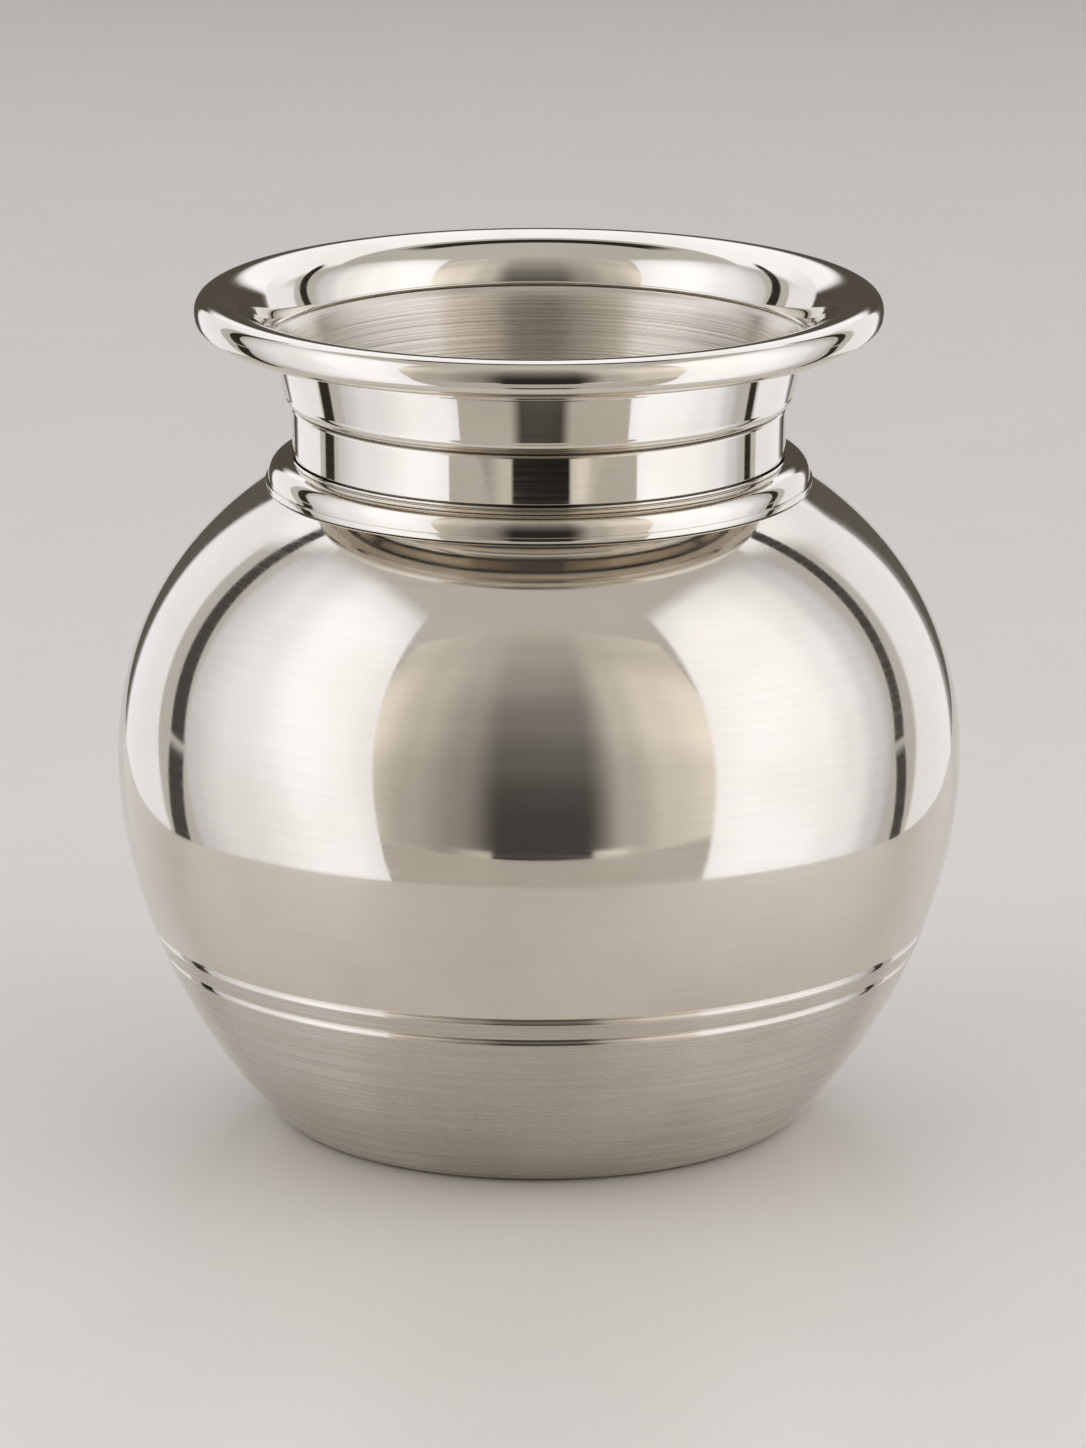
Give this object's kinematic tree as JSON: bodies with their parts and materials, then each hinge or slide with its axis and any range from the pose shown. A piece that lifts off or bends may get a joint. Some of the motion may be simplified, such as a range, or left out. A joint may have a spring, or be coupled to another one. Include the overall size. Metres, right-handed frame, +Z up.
{
  "type": "kalash pot",
  "caption": "Round-bellied steel water pot with a banded neck, a flared mouth with a rolled rim and turned grooves above the flat base.",
  "frame": {"origin": "middle of the flat base, on the surface that the pot stands on", "axes": "+Z up along the pot's turning axis, out of the mouth"},
  "size_m": [0.14, 0.14, 0.1389],
  "materials": {
    "polished_steel": "mirror-polished stainless steel with faint turning lines",
    "satin_steel": "fine spun satin, lines run round the bowl",
    "brushed_bore": "coarser brushed finish, lines run round the bore",
    "core_wire": "plain drawn wire, hidden in the rolled rim"
  },
  "bodies": {
    "root": {"lower_bowl": "satin_steel", "belly_shell": "polished_steel", "neck_sleeve": "brushed_bore", "neck_collar": "polished_steel", "neck_lower_band": "polished_steel", "neck_upper_band": "polished_steel", "flared_lip": "polished_steel", "rim_wire": "core_wire"}
  },
  "joints": []
}
